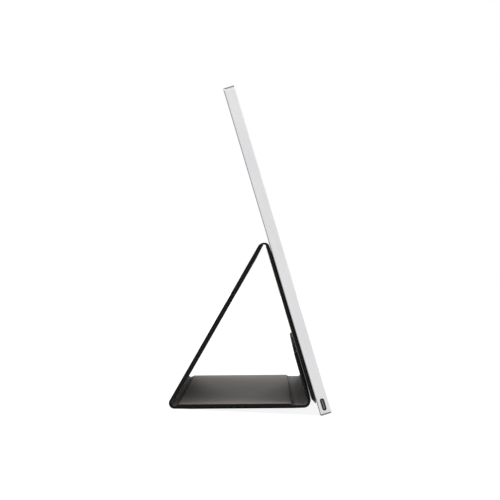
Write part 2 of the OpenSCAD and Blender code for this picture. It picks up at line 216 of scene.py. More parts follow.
def anodisedAluminium():
    # Bead-blasted and clear anodised: an even pale silver with a soft, slightly grainy reflection.
    # Real beads leave pits of about 0.1 mm; they are drawn at 0.35 mm so that they show.
    material, tree, shader, place = startMaterial(
        "anodised aluminium, bead-blasted", {"Metallic": 1.0, "Roughness": 0.42})
    pits = addNode(tree, "ShaderNodeTexNoise", None,
                   {"Vector": place, "Scale": 1 / (0.35 * mm), "Detail": 3.0, "Roughness": 0.6})
    cloud = addNode(tree, "ShaderNodeTexNoise", None,
                    {"Vector": place, "Scale": 1 / (45 * mm), "Detail": 2.0})
    grain = addNode(tree, "ShaderNodeMix", {"data_type": "FLOAT"},
                    {"Factor": 0.25, 2: pits.outputs["Fac"], 3: cloud.outputs["Fac"]})
    tint = addNode(tree, "ShaderNodeValToRGB", None, {"Fac": grain.outputs[0]})
    tint.color_ramp.elements[0].position, tint.color_ramp.elements[1].position = 0.3, 0.7
    tint.color_ramp.elements[0].color = linearColour("#CDCDCF")
    tint.color_ramp.elements[1].color = linearColour("#DBDBDC")
    tree.links.new(tint.outputs["Color"], shader.inputs["Base Color"])
    rough = addNode(tree, "ShaderNodeMapRange", None,
                    {"Value": cloud.outputs["Fac"], "From Min": 0.3, "From Max": 0.7,
                     "To Min": 0.38, "To Max": 0.46})
    tree.links.new(rough.outputs[0], shader.inputs["Roughness"])
    bump = addNode(tree, "ShaderNodeBump", None,
                   {"Height": pits.outputs["Fac"], "Strength": 0.25, "Distance": 0.02 * mm})
    tree.links.new(bump.outputs[0], shader.inputs["Normal"])
    return material


def leatherGrain(tree, place, cell):
    # Pebbles with creases between them: cells of the given size, pushed about by a slightly wider noise.
    # The noise runs from 0 to 1, so mixing it in by 0.0006 moves a place by up to 0.6 mm.
    stir = addNode(tree, "ShaderNodeTexNoise", None, {"Vector": place, "Scale": 0.6 / cell, "Detail": 2.0})
    moved = addNode(tree, "ShaderNodeMix", {"data_type": "VECTOR"},
                    {"Factor": 0.6 * mm, 4: place, 5: stir.outputs["Color"]})
    cells = addNode(tree, "ShaderNodeTexVoronoi", {"feature": "DISTANCE_TO_EDGE"},
                    {"Vector": moved.outputs[1], "Scale": 1 / cell})
    crease = addNode(tree, "ShaderNodeMapRange", {"interpolation_type": "SMOOTHSTEP"},
                     {"Value": cells.outputs["Distance"], "From Min": 0.0, "From Max": 0.28})
    fine = addNode(tree, "ShaderNodeTexNoise", None, {"Vector": place, "Scale": 5 / cell, "Detail": 3.0})
    return addNode(tree, "ShaderNodeMix", {"data_type": "FLOAT"},
                   {"Factor": 0.22, 2: crease.outputs[0], 3: fine.outputs["Fac"]}).outputs[0]


def leatherette():
    # Polyurethane leatherette, calendered with a pebble grain: near black, with a low broken shine
    # on the pebbles' tops. Real pebbles are about 0.7 mm; they are drawn at 1.1 mm so that they show.
    material, tree, shader, place = startMaterial(
        "polyurethane leatherette, pebble grained",
        {"Roughness": 0.6, "IOR": 1.48, "Specular IOR Level": 0.22})
    grain = leatherGrain(tree, place, 1.1 * mm)
    wear = addNode(tree, "ShaderNodeTexNoise", None, {"Vector": place, "Scale": 1 / (60 * mm), "Detail": 4.0})
    shade = addNode(tree, "ShaderNodeMix", {"data_type": "FLOAT"},
                    {"Factor": 0.4, 2: grain, 3: wear.outputs["Fac"]})
    tint = addNode(tree, "ShaderNodeValToRGB", None, {"Fac": shade.outputs[0]})
    tint.color_ramp.elements[0].position, tint.color_ramp.elements[1].position = 0.15, 0.9
    tint.color_ramp.elements[0].color = linearColour("#0A0A0B")
    tint.color_ramp.elements[1].color = linearColour("#171719")
    tree.links.new(tint.outputs["Color"], shader.inputs["Base Color"])
    rough = addNode(tree, "ShaderNodeMapRange", None, {"Value": grain, "To Min": 0.72, "To Max": 0.52})
    tree.links.new(rough.outputs[0], shader.inputs["Roughness"])
    bump = addNode(tree, "ShaderNodeBump", None, {"Height": grain, "Strength": 0.5, "Distance": 0.08 * mm})
    tree.links.new(bump.outputs[0], shader.inputs["Normal"])
    return material


def paintedEdge(name, dark, light):
    # Cut edge of the cover, sealed with matt black edge paint: nearly no shine, with the faint ripple of
    # 0.8 mm that the roller leaves. The skin takes it black; the lining drinks it and stays greyer.
    material, tree, shader, place = startMaterial(name, {"Roughness": 0.85, "Specular IOR Level": 0.06})
    ripple = addNode(tree, "ShaderNodeTexNoise", None,
                     {"Vector": place, "Scale": 1 / (0.8 * mm), "Detail": 2.0})
    tint = addNode(tree, "ShaderNodeValToRGB", None, {"Fac": ripple.outputs["Fac"]})
    tint.color_ramp.elements[0].position, tint.color_ramp.elements[1].position = 0.3, 0.7
    tint.color_ramp.elements[0].color = linearColour(dark)
    tint.color_ramp.elements[1].color = linearColour(light)
    tree.links.new(tint.outputs["Color"], shader.inputs["Base Color"])
    bump = addNode(tree, "ShaderNodeBump", None,
                   {"Height": ripple.outputs["Fac"], "Strength": 0.4, "Distance": 0.03 * mm})
    tree.links.new(bump.outputs[0], shader.inputs["Normal"])
    return material


def coverLining(name, dark, light, sheen):
    # Suede-finish microfibre: a warm dark grey that lightens where it is seen along its nap. The nap is
    # whole on the boards and flattened where the cover bends. Darker copies of it paint shade: a deep one at
    # the foot of the board's front step and in the rear fold's crease, and a half one beside these.
    # Real nap is finer than 0.1 mm; its tufts are drawn at 0.5 mm so that they show.
    material, tree, shader, place = startMaterial(
        name, {"Roughness": 0.85, "IOR": 1.45, "Specular IOR Level": 0.2,
               "Sheen Weight": sheen, "Sheen Roughness": 0.5, "Sheen Tint": linearColour("#D9D2CC")})
    nap = addNode(tree, "ShaderNodeTexNoise", None,
                  {"Vector": place, "Scale": 1 / (0.5 * mm), "Detail": 4.0, "Roughness": 0.65})
    patch = addNode(tree, "ShaderNodeTexNoise", None,
                    {"Vector": place, "Scale": 1 / (30 * mm), "Detail": 3.0})
    shade = addNode(tree, "ShaderNodeMix", {"data_type": "FLOAT"},
                    {"Factor": 0.4, 2: nap.outputs["Fac"], 3: patch.outputs["Fac"]})
    tint = addNode(tree, "ShaderNodeValToRGB", None, {"Fac": shade.outputs[0]})
    tint.color_ramp.elements[0].position, tint.color_ramp.elements[1].position = 0.25, 0.75
    tint.color_ramp.elements[0].color = linearColour(dark)
    tint.color_ramp.elements[1].color = linearColour(light)
    tree.links.new(tint.outputs["Color"], shader.inputs["Base Color"])
    bump = addNode(tree, "ShaderNodeBump", None,
                   {"Height": nap.outputs["Fac"], "Strength": 0.35, "Distance": 0.05 * mm})
    tree.links.new(bump.outputs[0], shader.inputs["Normal"])
    return material


def speckled(name, dark, light, size, values, bumpDepth=0.0):
    # A two-tone mottle of the given size over the whole piece, with the same mottle as its relief. Most
    # of the real ones are finer than 0.1 mm and are drawn at 0.3 to 2.5 mm, so that they show.
    material, tree, shader, place = startMaterial(name, values)
    spots = addNode(tree, "ShaderNodeTexNoise", None, {"Vector": place, "Scale": 1 / size, "Detail": 3.0})
    tint = addNode(tree, "ShaderNodeValToRGB", None, {"Fac": spots.outputs["Fac"]})
    tint.color_ramp.elements[0].position, tint.color_ramp.elements[1].position = 0.3, 0.7
    tint.color_ramp.elements[0].color = linearColour(dark)
    tint.color_ramp.elements[1].color = linearColour(light)
    tree.links.new(tint.outputs["Color"], shader.inputs["Base Color"])
    if bumpDepth:
        bump = addNode(tree, "ShaderNodeBump", None,
                       {"Height": spots.outputs["Fac"], "Strength": 0.4, "Distance": bumpDepth})
        tree.links.new(bump.outputs[0], shader.inputs["Normal"])
    return material


finishes = {
    "case_aluminium": anodisedAluminium(),
    # Spark-eroded mould texture gives black ABS a fine matt grain
    "bezel_plastic": speckled("ABS bezel, moulded with a fine matt grain", "#0F0F10", "#18181A", 0.5 * mm,
                              {"Roughness": 0.5, "IOR": 1.53}, 0.02 * mm),
    # Anti-glare hard coat over the polariser: black with a wide faint haze
    "screen_glass": speckled("LCD glass, anti-glare coated", "#050507", "#08080B", 1.5 * mm,
                             {"Roughness": 0.28, "IOR": 1.5}, 0.004 * mm),
    # Cast with white beads, so it is milky
    "diffuser_plastic": speckled("polyester diffuser film, bead coated", "#E6E6E4", "#F2F2F0", 0.4 * mm,
                                 {"Roughness": 0.6, "IOR": 1.57}, 0.01 * mm),
    # Moulded clear, with printed dots that scatter the light
    "light_guide_acrylic": speckled("acrylic light guide, dot printed", "#D4DCE0", "#EEF3F5", 1.2 * mm,
                                    {"Roughness": 0.12, "IOR": 1.49}),
    # Domes of yellow phosphor with a satin skin
    "led_strip": speckled("light-emitting diode strip, phosphor domed", "#C9B45A", "#EBDD9A", 2.0 * mm,
                          {"Roughness": 0.4}),
    # Rolling leaves an even bright grey with wide faint clouds
    "tray_aluminium": speckled("aluminium tray, mill rolled", "#B4B7BA", "#C9CCCE", 6 * mm,
                               {"Metallic": 1.0, "Roughness": 0.35}, 0.01 * mm),
    # The mask is a green lacquer: fairly glossy, and uneven over the copper
    "circuit_board": speckled("glass-epoxy board, solder masked", "#0E4424", "#1B6B3A", 1.6 * mm,
                              {"Roughness": 0.35, "IOR": 1.5}, 0.02 * mm),
    # Amber film, smooth and glossy
    "flex_cable": speckled("polyimide ribbon, laminated", "#9A5A1C", "#BD7A33", 1.5 * mm,
                           {"Roughness": 0.3, "IOR": 1.6}),
    # Comes out of its mould matt black with a fine grain
    "chip_plastic": speckled("epoxy chip body, moulded", "#141415", "#202022", 0.3 * mm,
                             {"Roughness": 0.55, "IOR": 1.55}, 0.01 * mm),
    # Nickel gives a bright, slightly warm silver
    "screw_steel": speckled("steel screw, nickel plated", "#B9BABB", "#D2D3D3", 0.6 * mm,
                            {"Metallic": 1.0, "Roughness": 0.28}),
    # A thin oxide makes it a dark metal with a dull shine
    "port_steel": speckled("stainless steel shell, blackened", "#4A4B4D", "#5E5F62", 0.7 * mm,
                           {"Metallic": 1.0, "Roughness": 0.33}, 0.004 * mm),
    # Glass fibres under its surface make the grey nylon satin
    "port_plastic": speckled("glass-filled nylon tongue, moulded", "#77777A", "#8C8C8F", 0.4 * mm,
                             {"Roughness": 0.5, "IOR": 1.53}, 0.01 * mm),
    # Plated smooth, so it shines nearly as a mirror
    "magnet_nickel": speckled("neodymium magnet, nickel plated", "#A9A9A6", "#C4C4C0", 1.0 * mm,
                              {"Metallic": 1.0, "Roughness": 0.22}),
    "cover_leatherette": leatherette(),
    "cover_lining": coverLining("microfibre lining, brushed", "#68625F", "#7B7370", 0.25),
    # Pressed between hot plates: flat matt tan, clouded by its fibres
    "stiffener_board": speckled("fibreglass stiffener, pressed", "#8D8468", "#A89E80", 2.5 * mm,
                                {"Roughness": 0.6, "IOR": 1.5}, 0.02 * mm),
}
edgePaints = {
    "cover_leatherette": paintedEdge("edge paint, rolled on leatherette", "#050506", "#0D0D0E"),
    "cover_lining": paintedEdge("edge paint, rolled on microfibre", "#141415", "#212122"),
}
# Diamond cut after anodising, then sealed: a narrow mirror-like line. Its colour is set darker than the
# faces: painted shade of what it reflects behind and under the case.
shadedChamferAluminium = speckled("aluminium chamfer, diamond cut", "#848587", "#909193", 0.8 * mm,
                            {"Metallic": 1.0, "Roughness": 0.18})
# A darker copy of the lining, painting half shade behind the board and beside the deep shade at its step
halfShadeLining = coverLining("microfibre lining, painted half shade", "#343231", "#3F3D3C", 0.15)
flattenedLining = coverLining("microfibre lining, flattened", "#4A4746", "#565352", 0.2)
# A near-black copy of the lining, painting deep shade at the board step's foot and in the rear fold's crease
seamLining = coverLining("microfibre lining, painted deep shade", "#1A1919", "#242323", 0.05)
for part in frame["record"]["subparts"]:
    for materialSlot in nodes[part["node"]].material_slots:
        materialSlot.material = finishes[part["material_slot"]]
print("finishes made:", len(finishes))


def finishMesh(name, points, faces, body, slot, replaced=(), sharp=40):
    # Turns the faces outward by the sign of the volume they enclose, then shades them smooth
    mesh = bpy.data.meshes.new(name)
    mesh.from_pydata(points.tolist(), [], faces)
    bm = bmesh.new()
    bm.from_mesh(mesh)
    if bm.calc_volume(signed=True) < 0:
        bmesh.ops.reverse_faces(bm, faces=bm.faces[:])
    bm.to_mesh(mesh)
    bm.free()
    mesh.polygons.foreach_set("use_smooth", np.ones(len(mesh.polygons), bool))
    mesh.set_sharp_from_angle(angle=math.radians(sharp))
    mesh.materials.append(finishes[slot])
    piece = bpy.data.objects.new(name, mesh)
    bpy.context.scene.collection.objects.link(piece)
    if body:
        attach(piece, body)
    if replaced:
        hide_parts(*replaced)
    return piece


def loftFaces(rows, around, start=0):
    # Quads between neighbouring rows of a closed loop, and one face over each end
    i, j = np.meshgrid(np.arange(rows - 1), np.arange(around), indexing="ij")
    k, row = (j + 1) % around, start + i * around
    quads = np.stack([row + j, row + k, row + around + k, row + around + j], -1).reshape(-1, 4)
    first, last = start + np.arange(around)[::-1], start + np.arange((rows - 1) * around, rows * around)
    return quads.tolist() + [first.tolist(), last.tolist()]


caseFacts = {
    "width": 360.5, "height": 243.8, "thickness": 8.3, "lean": 19.4, "cornerRadius": 3.0,
    "backRound": (0.8, 1.4),  # inward and through the case
    "chamferSteps": 5,  # of the back rounding's eight, counted from the back face
    "shadedCornerTurn": (0.6, 0.05),  # how far a corner's face turns to the case's end and to its side, before it takes the chamfer's painted shade
    "frontRound": 0.4, "rimRound": 0.15, "wall": 1.5, "backPlate": 1.0,
    "portHeight": 7.7, "portSlot": (9.0, 3.2),
    "powerHeight": 31.0, "rockerHeight": 52.0, "powerLength": 9.0, "rockerLength": 18.0, "buttonSlot": 2.4,
}


def lowerBackCorner(facts):
    # Where the sharp corner would be, forward and up in mm. The rounded corner stands on the ground, so
    # the sharp one is below it, and the lower front edge is as far forward as the whole object reaches.
    a = math.radians(facts["lean"])
    depth = facts["thickness"] * math.cos(a) - facts["frontRound"] * math.sin(a)
    return -cadBox[0][1] / mm - depth, -facts["backRound"][0] * math.sin(a)


caseFacts["lowerBack"] = lowerBackCorner(caseFacts)


def onCase(x, t, s):
    # A place in the case, x across, t forward from its back and s up its face, as row coordinates in m
    a = math.radians(caseFacts["lean"])
    forward = caseFacts["lowerBack"][0] + t * math.cos(a) - s * math.sin(a)
    up = caseFacts["lowerBack"][1] + t * math.sin(a) + s * math.cos(a)
    return np.stack(np.broadcast_arrays(x, -forward, up), -1) * mm


def roundedRing(inset, radius, arc=9):
    # The case's outline drawn in by an inset: four straight sides joined by quarter circles
    w, h = caseFacts["width"] / 2 - inset, caseFacts["height"] / 2 - inset
    r = max(radius - inset, 0.35)
    turn = np.radians(np.linspace(0, 90, arc))
    ring = []
    for quarter, (cx, cs) in enumerate([(w - r, h - r), (-w + r, h - r), (-w + r, -h + r), (w - r, -h + r)]):
        at = turn + quarter * math.pi / 2
        ring.append(np.stack([cx + r * np.cos(at), cs + r * np.sin(at)], -1))
    ring = np.concatenate(ring)
    return ring[:, 0], ring[:, 1] + caseFacts["height"] / 2


def pillRing(length, width, arc=13):
    # Two half circles joined by straight sides, about their own middle, as places through and up the case
    half = np.radians(np.linspace(-90, 90, arc))
    r, middle = width / 2, length / 2 - width / 2
    t = np.concatenate([r * np.sin(half), -r * np.sin(half)])
    up = np.concatenate([middle + r * np.cos(half), -middle - r * np.cos(half)])
    return t, up


def pillCutter(name, x, s, length, width):
    # A round-ended bar through the case's wall: a pill's outline drawn out from x[0] to x[1]
    t, up = pillRing(length, width, 17)
    rows = [onCase(np.full_like(t, at), t + caseFacts["thickness"] / 2, up + s) for at in x]
    mesh = bpy.data.meshes.new(name)
    mesh.from_pydata(np.concatenate(rows).tolist(), [], loftFaces(2, len(t)))
    bm = bmesh.new()
    bm.from_mesh(mesh)
    bmesh.ops.recalc_face_normals(bm, faces=bm.faces[:])
    bm.to_mesh(mesh)
    bm.free()
    cutter = bpy.data.objects.new(name, mesh)
    bpy.context.scene.collection.objects.link(cutter)
    return cutter


def makeCase(facts):
    # A profile of inset against depth, carried round the outline: back face, back rounding, side,
    # front rounding, rim, and down the inside of the wall to the inner face of the back plate
    thick, (inward, through) = facts["thickness"], facts["backRound"]
    front, rim = facts["frontRound"], facts["rimRound"]
    a = np.radians(np.linspace(0, 90, 9))
    profile = np.concatenate([
        [[inward + 0.3, 0]],
        np.stack([inward * (1 - np.sin(a)), through * (1 - np.cos(a))], -1),
        [[0, through + 0.2], [0, thick - front - 0.2]],
        np.stack([front * (1 - np.cos(a)), thick - front * (1 - np.sin(a))], -1),
        [[front + 0.1, thick], [facts["wall"] - rim - 0.1, thick]],
        np.stack([facts["wall"] - rim * (1 - np.sin(a)), thick - rim * (1 - np.cos(a))], -1),
        [[facts["wall"], thick - rim - 0.1], [facts["wall"], facts["backPlate"]]],
    ])
    rows = []
    for inset, t in profile:
        x, s = roundedRing(inset, facts["cornerRadius"])
        rows.append(onCase(x, np.full_like(x, t), s))
    around = len(rows[0])
    case = finishMesh("caseShell", np.concatenate(rows), loftFaces(len(rows), around), None,
                      "case_aluminium", sharp=50)
    # The back rounding's steps beside the back face take the darker chamfer finish, and so do the corners
    # where they turn over the case's two ends: painted shade of what these faces reflect.
    case.data.materials.append(shadedChamferAluminium)
    index = np.zeros(len(case.data.polygons), int)
    index[around:(1 + facts["chamferSteps"]) * around] = 1
    facing = np.empty(len(case.data.polygons) * 3)
    case.data.polygons.foreach_get("normal", facing)
    facing = facing.reshape(-1, 3)
    lean = math.radians(facts["lean"])
    toEnd = np.abs(facing[:, 1] * math.sin(lean) + facing[:, 2] * math.cos(lean))
    index[(toEnd > facts["shadedCornerTurn"][0]) & (np.abs(facing[:, 0]) > facts["shadedCornerTurn"][1])] = 1
    case.data.polygons.foreach_set("material_index", index)
    inner, outer = facts["width"] / 2 - facts["wall"] - 0.6, facts["width"] / 2 + 1  # clear of the wall
    slotWidth = facts["buttonSlot"]
    cutters = [
        pillCutter("portCut", (-outer, -inner), facts["portHeight"], *facts["portSlot"]),
        pillCutter("powerCut", (inner, outer), facts["powerHeight"], facts["powerLength"], slotWidth),
        pillCutter("rockerCut", (inner, outer), facts["rockerHeight"], facts["rockerLength"], slotWidth),
    ]
    for cutter in cutters:
        modifier = case.modifiers.new(cutter.name, "BOOLEAN")
        modifier.operation, modifier.solver, modifier.object = "DIFFERENCE", "EXACT", cutter
    evaluated = case.evaluated_get(bpy.context.evaluated_depsgraph_get())
    cut = bpy.data.meshes.new_from_object(evaluated)
    case.modifiers.clear()
    case.data = cut
    for cutter in cutters:
        bpy.data.objects.remove(cutter)
    cut.polygons.foreach_set("use_smooth", np.ones(len(cut.polygons), bool))
    cut.set_sharp_from_angle(angle=math.radians(50))
    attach(case, "display")
    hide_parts("rear_cover")


makeCase(caseFacts)
print("case made")

contactFacts = {
    "count": 12, "pitch": 0.5, "width": 0.26, "thickness": 0.04,
    "from": 1.6, "length": 3.6,  # inward from the case's side
    "tongue": 0.7,  # the tongue's thickness, which they lie on
}


def makeContacts(facts):
    # Twelve strips along each broad face of the tongue, each a low bar with a rounded nose
    half = facts["width"] / 2
    turn = np.radians(np.linspace(-90, 90, 7))
    nose = np.stack([-half * np.cos(turn), half * np.sin(turn)], -1)
    outline = np.concatenate([nose, [[facts["length"], half], [facts["length"], -half]]])
    points, faces = [], []
    start = -caseFacts["width"] / 2 + facts["from"]
    for side in (-1, 1):
        for i in range(facts["count"]):
            s = caseFacts["portHeight"] + (i - (facts["count"] - 1) / 2) * facts["pitch"]
            for lift in (-0.01, facts["thickness"]):  # a little into the tongue, so that no gap shows
                t = caseFacts["thickness"] / 2 + side * (facts["tongue"] / 2 + lift)
                points.append(onCase(start + outline[:, 0], np.full(len(outline), t), s + outline[:, 1]))
            bar = loftFaces(2, len(outline), (len(points) - 2) * len(outline))
            faces += bar if side > 0 else [face[::-1] for face in bar]
    contacts = finishMesh("portContacts", np.concatenate(points), faces, "display", "port_steel")
    # A thin bright plating, a little warmer than the shell
    plated = speckled("palladium plated contacts, electroplated", "#A7A5A1", "#C2C0BB", 0.3 * mm,
                      {"Metallic": 1.0, "Roughness": 0.25})
    contacts.data.materials[0] = plated


capFacts = {
    "proud": 0.5, "edge": 0.28, "crown": 0.08,
    # the flange is this thick, this much wider all round, and this deep under the case's side
    "power": {"length": 8.8, "width": 2.2, "flange": 0.7, "more": 0.7, "flangeTop": 1.55},
    "rocker": {"length": 17.7, "width": 2.1, "foot": 2.3},
}


def makeCap(name, s, profile, facts, node):
    # A profile of (x, how far in from the outline) carried round a pill's outline. Its node and its body
    # share one name.
    rows = []
    for x, inset in profile:
        t, up = pillRing(facts["length"] - 2 * inset, max(facts["width"] - 2 * inset, 0.02))
        rows.append(onCase(np.full_like(t, x), t + caseFacts["thickness"] / 2, up + s))
    finishMesh(name, np.concatenate(rows), loftFaces(len(rows), len(rows[0])), node,
               "case_aluminium", (node,), sharp=50)


def capTop(outer, edge, crown, width):
    # Rounds the edge with a quarter circle and then rises to a low crown, as a quarter sine
    a = np.radians(np.linspace(0, 90, 7))
    rounding = np.stack([outer - crown - edge * (1 - np.sin(a)), edge * (1 - np.cos(a))], -1)
    inset = np.linspace(edge, width / 2 - 0.05, 6)[1:]
    rise = crown * np.sin(np.linspace(0, math.pi / 2, 6))[1:]
    return np.concatenate([rounding, np.stack([outer - crown + rise, inset], -1)])


def makeButtons(facts):
    # Straight up from the foot to the rounded top; the power button's foot is a wider flange that holds
    # it in the case
    wallOuter = caseFacts["width"] / 2
    outer = wallOuter + facts["proud"]
    power, rocker = facts["power"], facts["rocker"]
    flangeTop, wider = wallOuter - power["flangeTop"], -power["more"]
    flange = [[flangeTop - power["flange"], wider], [flangeTop, wider], [flangeTop + 0.01, 0]]
    top = capTop(outer, facts["edge"], facts["crown"], power["width"])
    makeCap("powerCap", caseFacts["powerHeight"], np.concatenate([flange, top]), power, "power_button")
    foot = [[wallOuter - rocker["foot"], 0]]
    top = capTop(outer, facts["edge"], facts["crown"], rocker["width"])
    makeCap("rockerCap", caseFacts["rockerHeight"], np.concatenate([foot, top]), rocker, "menu_rocker")


makeContacts(contactFacts)
makeButtons(capFacts)
print("contacts and caps made")

coverFacts = {
    # mm and degrees; two numbers along a panel are where a slope starts and where it ends
    "width": 357.0, "skin": 0.65, "panel": 2.6, "strut": 3.2, "base": 3.1, "flap": 2.2, "sheet": 2.0,
    "edgeRound": 0.3, "liningRound": 0.6, "seamRound": 0.07, "cornerRadius": 4.0,
    "topRadius": 4.57, "rearRadius": 4.0, "frontRadius": 4.7,
    "topEase": 2.4, "rearEase": 1.1, "frontEase": 1.0,  # how far a bend's ends are drawn together
    # the panels' angles from straight forward, each further round than the last: the back panel leans
    # with the case, the strut 27.05 from upright, the base rises 3.25 and the flap leans 18.55
    "backAngle": 90 + caseFacts["lean"], "strutAngle": 270 - 27.05, "baseAngle": 360 + 3.25,
    "flapAngle": 450 + 18.55,
    "magnetGap": 0.3,  # between the case's back and the back panel
    "foldRows": 73,
    "topHole": (1.35, 2.0),  # the small hole's radius, and its centre's distance from the fold's
    "rearFoldShade": (0.25, 0.75),  # stretch of the rear fold's inner face darkened with painted deep shade, as shares of its turn
    "backLow": 9.8, "foldHeight": 125.6, "backTaper": 4.5, "backEdge": 0.9, "backEndRound": 0.3,
    "strutStart": 12.0, "strutTaper": (4.0, 1.8),
    # the shadow band is the width of the painted deep shade at the foot of the board's front step
    "baseLength": 92.1, "baseRear": (0.4, 3.2), "baseFront": (82.4, 84.0), "seamWidth": 0.8,
    "flapLength": 35.1, "flapTaper": (2.0, 4.5), "flapTip": (1.6, 1.5), "flapEndRound": 0.35,
    # slack of the skins: how far they stand out over the middle of the width
    "padIn": 6.0,  # from nothing at the sides, over this width
    "padStart": 2.5,  # and from nothing at a panel's end, over this length
    "backPad": 0.27, "frontPad": 0.35, "frontPadFrom": 0.3,
    "padClear": (0.18, 0.31),  # what the flap's leaves free in front of the back panel, at fold and tip
    "baseSag": 0.2, "baseSagRun": (3.0, 12.0, 8.0),  # starts, is whole, and runs out over the last stretch
    # how far a face turns to the side, from 0 to 1, before the edge paint covers it
    "paintFrom": {"cover_leatherette": 0.4, "cover_lining": 0.6,
                  "backPanelLining": 0.96, "flapLining": 0.25, "baseLining": 0.35},
}


def along(angle):
    # The unit step along a panel that runs at an angle up from straight forward
    return np.array([math.cos(math.radians(angle)), math.sin(math.radians(angle))])


def inwardOf(angle):
    # That step turned a quarter turn, from the panel's outer face toward its inner one
    return np.array([-math.sin(math.radians(angle)), math.cos(math.radians(angle))])


def foldChain(facts):
    # The folds' centres, forward and up: up the case's back to the top fold, down the strut until the rear
    # fold stands on the ground, which gives the strut's length, and along the base to the front fold
    back, strut, base = facts["backAngle"], facts["strutAngle"], facts["baseAngle"]
    topRadius, rearRadius, frontRadius = facts["topRadius"], facts["rearRadius"], facts["frontRadius"]
    top = caseFacts["lowerBack"] + facts["foldHeight"] * along(back)
    top = top + (facts["magnetGap"] + topRadius) * inwardOf(back)
    start = top + (rearRadius - topRadius) * inwardOf(strut)
    length = (rearRadius - start[1]) / along(strut)[1]
    rear = start + length * along(strut)
    front = rear + (frontRadius - rearRadius) * inwardOf(base) + facts["baseLength"] * along(base)
    return {"topCentre": top, "rearCentre": rear, "frontCentre": front, "strutLength": length}


coverFacts.update(foldChain(coverFacts))


def onPanel(centre, radius, angle, offset=0.0):
    # Maps (x, a, d) on a flat panel: a along it from the foot of a fold, d inward from its outer face
    foot = centre - radius * inwardOf(angle)
    run, into = along(angle), inwardOf(angle)

    def place(x, a, d):
        forward = foot[0] + (a - offset) * run[0] + d * into[0]
        up = foot[1] + (a - offset) * run[1] + d * into[1]
        return np.stack(np.broadcast_arrays(x, -forward, up), -1) * mm
    return place


def onFold(centre, radius, angle):
    # Maps (x, a, d) on a fold: a is the turn in degrees from the first panel, d inward from its outer face
    def place(x, a, d):
        at = np.radians(angle + a)
        forward = centre[0] + (radius - d) * np.sin(at)
        up = centre[1] - (radius - d) * np.cos(at)
        return np.stack(np.broadcast_arrays(x, -forward, up), -1) * mm
    return place


def eased(a, stops, values):
    # From each value to the next between two stops, by t * t * (3 - 2 * t), so that shoulders are soft
    out = np.full_like(a, values[0], dtype=float)
    for k in range(len(stops) - 1):
        t = np.clip((a - stops[k]) / max(stops[k + 1] - stops[k], 1e-9), 0, 1)
        out += (values[k + 1] - values[k]) * t * t * (3 - 2 * t)
    return out


def layerPoints(place, a, low, high, half, roundLow, roundHigh, side=6, bulge=None):
    # At each place along a layer, a loop across it: a flat bar whose corners are quarter circles of two
    # radii. A point 0.4 mm in from each corner keeps the flats flat where they are shaded. A bulge pads
    # the outer face out over the middle of the width, from nothing at the sides.
    a, low, high, half = (v[:, None] for v in np.broadcast_arrays(a, low, high, half))
    hold, most = 0.4, (high - low) * 0.48  # just under half the thickness
    roundLow, roundHigh = np.minimum(roundLow, most), np.minimum(roundHigh, most)
    turn = np.radians(np.linspace(0, 90, side))[None, :]
    lowX, highX = half - roundLow * (1 - np.sin(turn)), half - roundHigh * (1 - np.cos(turn))
    lowD, highD = low + roundLow * (1 - np.cos(turn)), high - roundHigh * (1 - np.sin(turn))
    right = np.concatenate([half - roundLow - hold, lowX, highX, half - roundHigh - hold], 1)
    height = np.concatenate([low, lowD, highD, high], 1)
    if bulge is not None:
        right = np.concatenate([half - coverFacts["padIn"], right], 1)
        height = np.concatenate([low - bulge[:, None], height], 1)
    x = np.concatenate([right, -right[:, ::-1]], 1)
    d = np.concatenate([height, height[:, ::-1]], 1)
    return place(x, np.broadcast_to(a, x.shape), d)


def makeLayer(name, place, a, low, high, half, rounds, body, slot, replaced, zones=(), bulge=None):
    # Lofts one layer and paints its cut ends and every face that turns far enough to the side. Each zone
    # is a stretch of it, from and to, with a finish of its own.
    points = layerPoints(place, a, low, high, half, *rounds, bulge=bulge)
    piece = finishMesh(name, points.reshape(-1, 3), loftFaces(*points.shape[:2]), body, slot, replaced)
    facing = np.empty(len(piece.data.polygons) * 3)
    piece.data.polygons.foreach_get("normal", facing)
    piece.data.materials.append(edgePaints[slot])
    index = np.zeros(len(piece.data.polygons), int)
    middle = np.repeat((a[:-1] + a[1:]) / 2, points.shape[1])
    for first, last, finish in zones:
        piece.data.materials.append(finish)
        index[:len(middle)][(middle > first) & (middle < last)] = len(piece.data.materials) - 1
    paintFrom = coverFacts["paintFrom"]
    index[np.abs(facing[::3]) > paintFrom.get(name, paintFrom[slot])] = 1
    index[len(middle):] = 1
    piece.data.polygons.foreach_set("material_index", index)
    return piece


def stations(length, breaks, free=None, step=6.0):
    # Places along a panel: every few mm, closer over each slope, and closest round a free end, where
    # they stand at even angles of the corner's quarter circle
    parts = [np.linspace(0, length, int(length / step) + 2)]
    for first, last in breaks:
        parts.append(np.linspace(first, last, 9))
    if free is not None:
        r = coverFacts["cornerRadius"]
        turn = np.radians(np.linspace(0, 90, 17))
        corner = r * np.sin(turn)
        parts.append(np.abs(free - (r - corner)) if free else r - corner)
    a = np.unique(np.round(np.concatenate(parts), 5))
    return a[(a >= 0) & (a < length + 1e-4)]  # rounding may put the last place just past the end


def roundedHalfWidth(a, free, sign):
    # Half the panel's width: whole, then drawn in along a quarter circle at the free end
    r, half = coverFacts["cornerRadius"], coverFacts["width"] / 2
    gone = np.clip(r - sign * (free - a), 0, r)
    return half - r + np.sqrt(np.maximum(r * r - gone * gone, 0))


def endRound(a, free, sign, radius):
    # How far a face falls back as it rounds over at the free end: a quarter circle of the given radius
    gone = np.clip(radius - sign * (free - a), 0, radius)
    return radius - np.sqrt(np.maximum(radius * radius - gone * gone, 0))


def backGap(facts, a):
    # How far the flap's outer face stands from the back panel's lining, along the flap: the step from a
    # place on the lining to a place on the face, measured square to the lining
    foot = facts["frontCentre"] - facts["frontRadius"] * inwardOf(facts["flapAngle"])
    into = inwardOf(facts["backAngle"])
    lining = facts["topCentre"] - (facts["topRadius"] - facts["panel"]) * into
    outer = foot + a[:, None] * along(facts["flapAngle"])
    return (outer - lining) @ into


